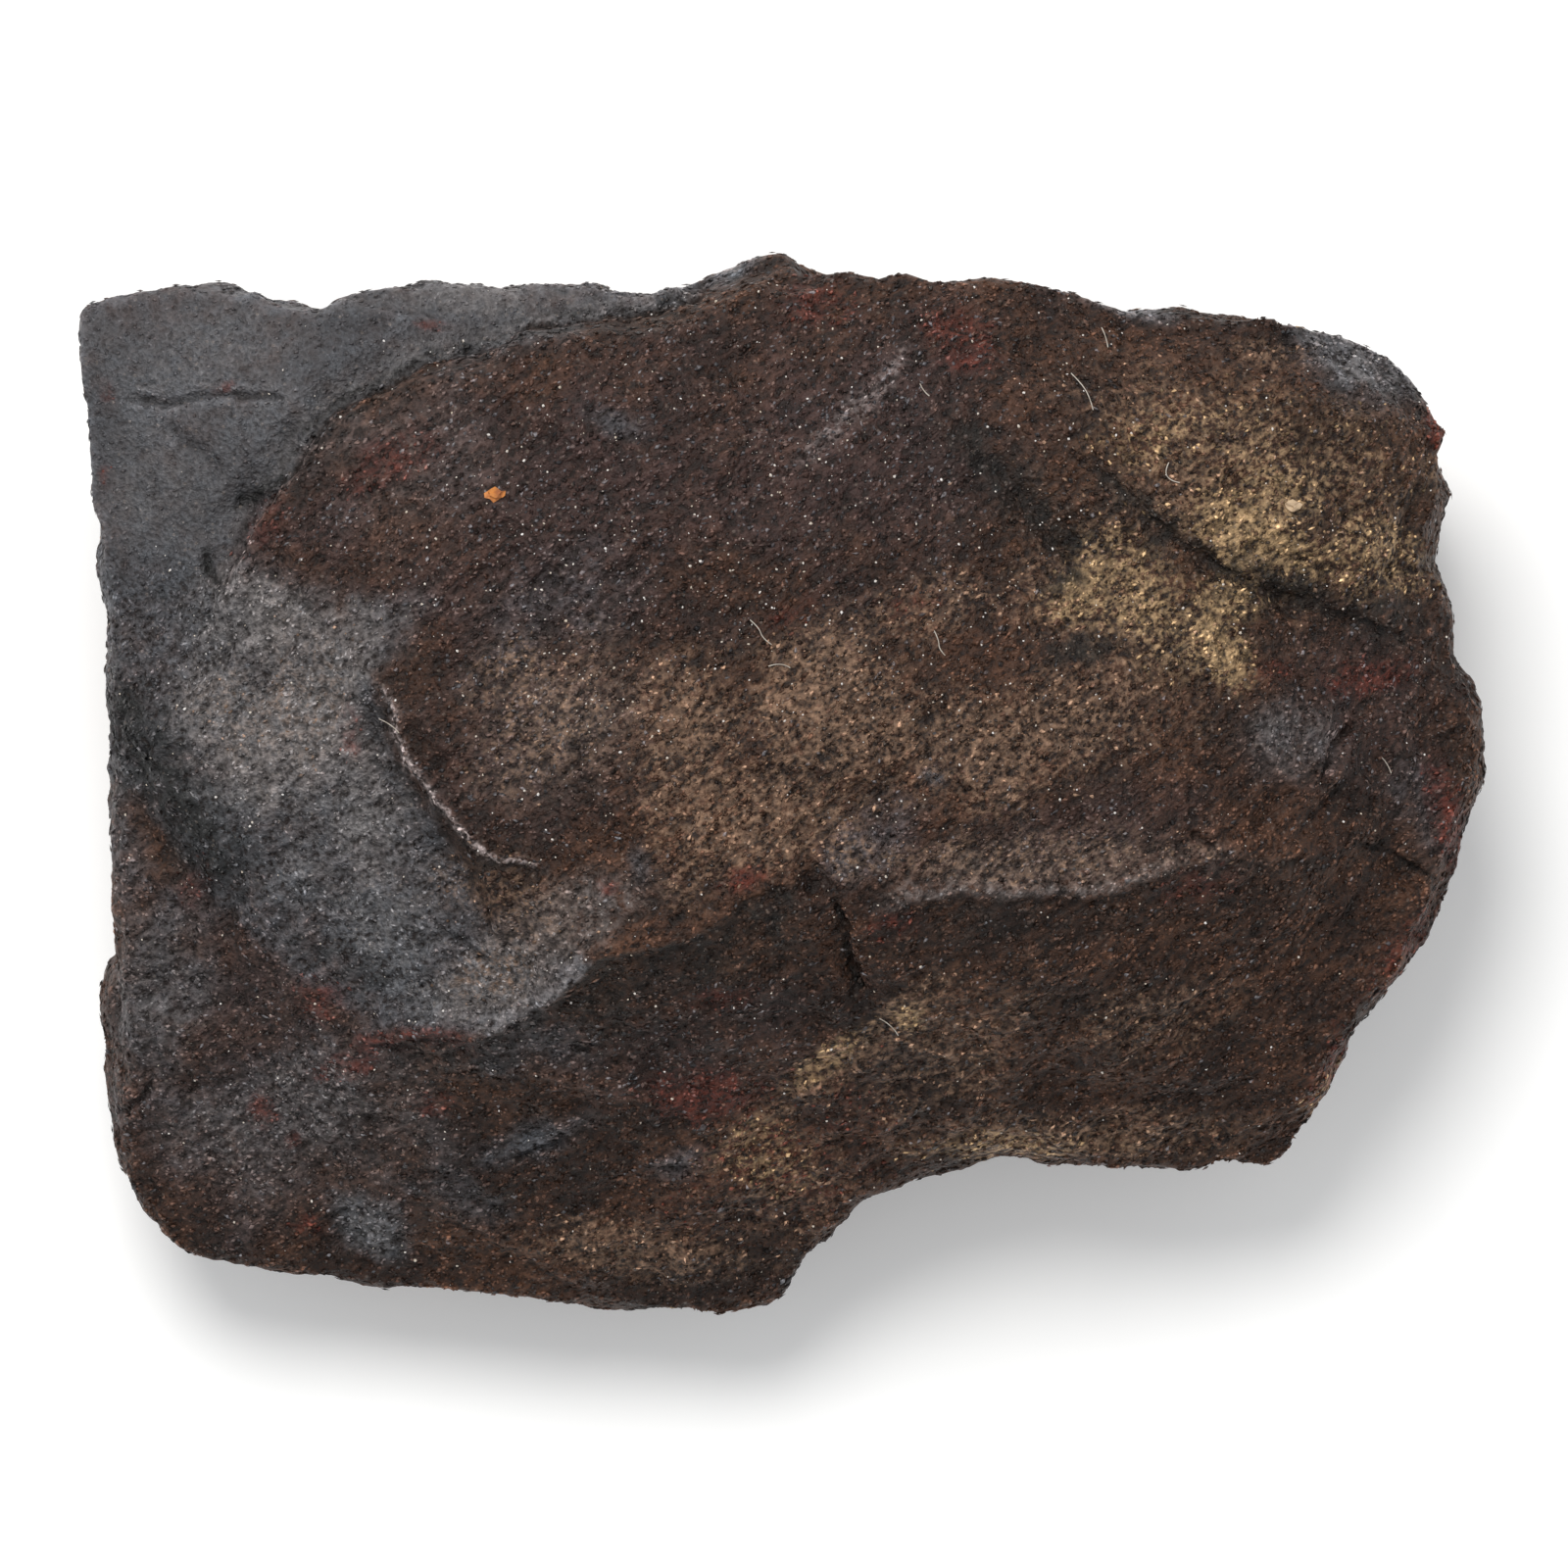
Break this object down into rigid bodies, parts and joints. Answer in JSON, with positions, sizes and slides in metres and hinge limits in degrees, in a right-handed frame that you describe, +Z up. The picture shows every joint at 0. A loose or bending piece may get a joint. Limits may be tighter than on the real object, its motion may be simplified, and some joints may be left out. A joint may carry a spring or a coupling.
{
  "type": "rough hematite ore",
  "caption": "Rough broken block of fine-grained dark red-brown iron ore, with a stepped upper face, a sloping front break and a flat underside that it rests on.",
  "frame": {"origin": "centre of the block's bounding box seen from above, on the flat break that it rests on", "axes": "+X along the block's length, +Y across to the long back edge, +Z up out of the stepped upper face"},
  "size_m": [0.0918, 0.0694, 0.0356],
  "materials": {
    "hematite": "rough broken stone, dull with a faint metallic sheen and fine sparkling grains"
  },
  "bodies": {
    "root": {"hematite_ore": "hematite"}
  },
  "joints": []
}
